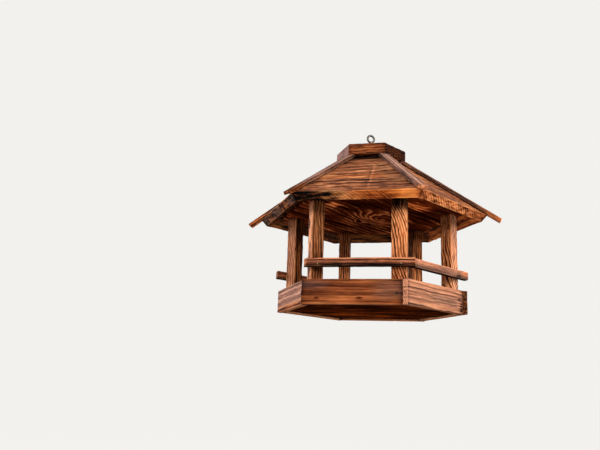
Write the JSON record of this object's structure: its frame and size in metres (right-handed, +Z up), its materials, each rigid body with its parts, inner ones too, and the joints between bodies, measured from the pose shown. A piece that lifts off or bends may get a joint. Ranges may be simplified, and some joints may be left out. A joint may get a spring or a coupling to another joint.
{
  "type": "hexagonal bird feeder",
  "caption": "Hanging hexagonal bird feeder of charred softwood: a tray with low sides, corner posts, perch rails and a steep roof with hip battens, a cap block and a screw eye.",
  "frame": {"origin": "middle of the tray's underside, where the feeder stands when it is set down", "axes": "+Z up along the hanging axis, -Y out of the front side, +X to the right as seen from the front"},
  "size_m": [0.479, 0.3996, 0.3488],
  "materials": {
    "rim_wood": "charred, brushed and oiled",
    "post_wood": "charred, brushed and oiled",
    "rail_wood": "charred, brushed and oiled",
    "roof_wood": "charred, brushed and oiled",
    "batten_wood": "charred, brushed and weathered",
    "cap_wood": "charred, brushed and oiled",
    "floor_plywood": "charred and oiled",
    "ceiling_plywood": "charred, brushed and oiled",
    "eye_steel": "dull zinc plate gone dark"
  },
  "bodies": {
    "root": {"cap_block": "cap_wood", "ceiling_board": "ceiling_plywood", "hip_batten_left": "batten_wood", "hip_batten_left_back": "batten_wood", "hip_batten_left_front": "batten_wood", "hip_batten_right": "batten_wood", "hip_batten_right_back": "batten_wood", "hip_batten_right_front": "batten_wood", "post_left": "post_wood", "post_left_back": "post_wood", "post_left_front": "post_wood", "post_right": "post_wood", "post_right_back": "post_wood", "post_right_front": "post_wood", "rail_back": "rail_wood", "rail_back_left": "rail_wood", "rail_front": "rail_wood", "rail_front_right": "rail_wood", "rim_board_back": "rim_wood", "rim_board_back_left": "rim_wood", "rim_board_back_right": "rim_wood", "rim_board_front": "rim_wood", "rim_board_front_left": "rim_wood", "rim_board_front_right": "rim_wood", "roof_board_back": "roof_wood", "roof_board_back_left": "roof_wood", "roof_board_back_right": "roof_wood", "roof_board_front": "roof_wood", "roof_board_front_left": "roof_wood", "roof_board_front_right": "roof_wood", "screw_eye": "eye_steel", "tray_floor": "floor_plywood"}
  },
  "joints": []
}
